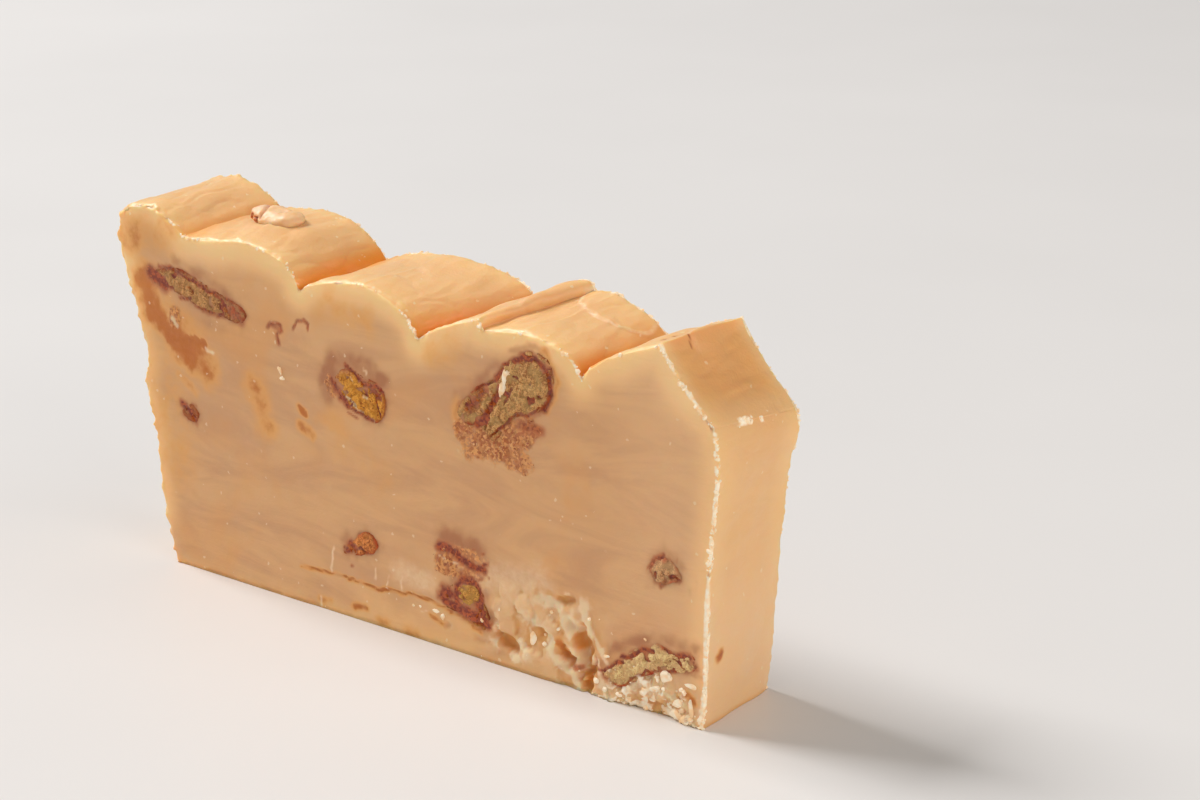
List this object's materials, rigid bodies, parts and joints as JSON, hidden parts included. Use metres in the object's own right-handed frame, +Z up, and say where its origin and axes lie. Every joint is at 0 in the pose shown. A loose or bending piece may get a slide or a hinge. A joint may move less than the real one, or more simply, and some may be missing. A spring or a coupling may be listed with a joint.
{
  "type": "slice of pecan loaf fudge",
  "caption": "Thick slice of caramel-coloured loaf fudge standing on its base, with flat knife-cut faces, a ridged top, one bevelled end and pecan pieces set into the cuts.",
  "frame": {"origin": "middle of the base, at the bottom centre of the bounding box", "axes": "+X along the slice's length towards its bevelled end, +Y through its thickness towards the rear cut face, +Z up"},
  "size_m": [0.1186, 0.0176, 0.0605],
  "materials": {
    "fudge": "waxy, slightly translucent caramel fudge, satin on the knife cuts, with pale sugary edges",
    "pecan": "dry cut pecan: beige crumbly inside and thin red-brown skin",
    "coated_pecan": "pecan piece coated with pale fudge, brown where the skin shows"
  },
  "bodies": {
    "root": {"fudge_slice": "fudge", "pecan_long": "pecan", "pecan_crumbled": "pecan", "pecan_half": "pecan", "pecan_round": "pecan", "pecan_sliver": "pecan", "pecan_chip": "pecan", "pecan_corner": "pecan", "pecan_buried": "pecan", "pecan_rear_half": "pecan", "pecan_rear_long": "pecan", "pecan_rear_round": "pecan", "pecan_rear_low": "pecan", "pecan_rear_chip": "pecan", "pecan_on_top": "coated_pecan"}
  },
  "joints": []
}
